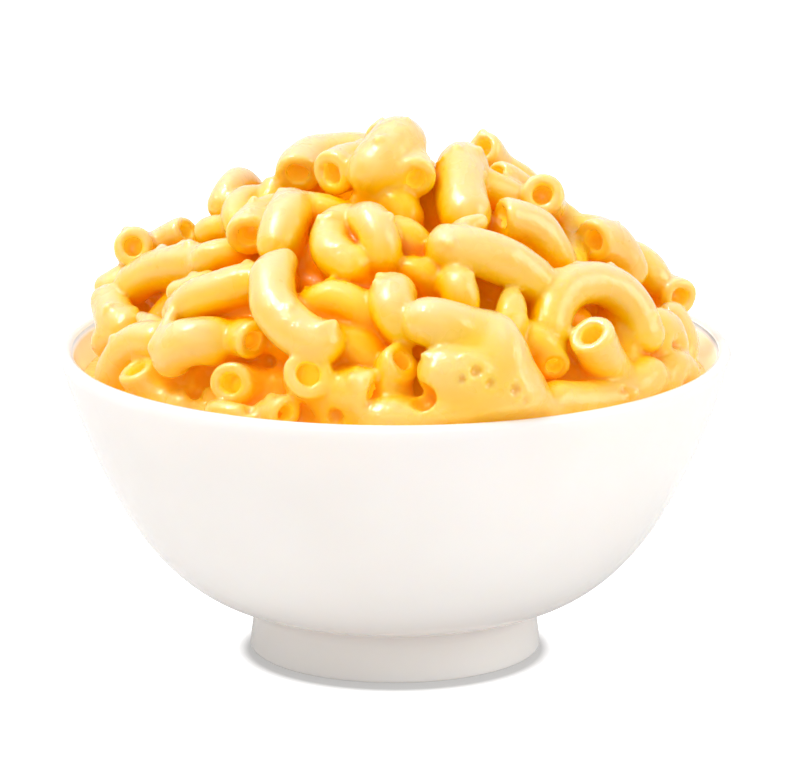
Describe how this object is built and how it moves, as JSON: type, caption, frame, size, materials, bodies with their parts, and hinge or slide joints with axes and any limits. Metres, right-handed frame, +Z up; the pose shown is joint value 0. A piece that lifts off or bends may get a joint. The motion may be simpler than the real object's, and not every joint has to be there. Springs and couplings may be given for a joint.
{
  "type": "mac and cheese",
  "caption": "Round footed white bowl heaped high with elbow macaroni in a glossy yellow cheese sauce.",
  "frame": {"origin": "middle of the foot ring's underside, on the surface that the bowl stands on", "axes": "+Z up along the bowl's axis, -Y towards the side of the heap that is seen first, +X to that viewer's right"},
  "size_m": [0.13, 0.13, 0.1069],
  "materials": {
    "white_glaze": "smooth glossy white glaze",
    "cheese_pasta": "soft yellow pasta under a glossy cheese sauce"
  },
  "bodies": {
    "root": {"bowl": "white_glaze", "macaroni_heap": "cheese_pasta"}
  },
  "joints": []
}
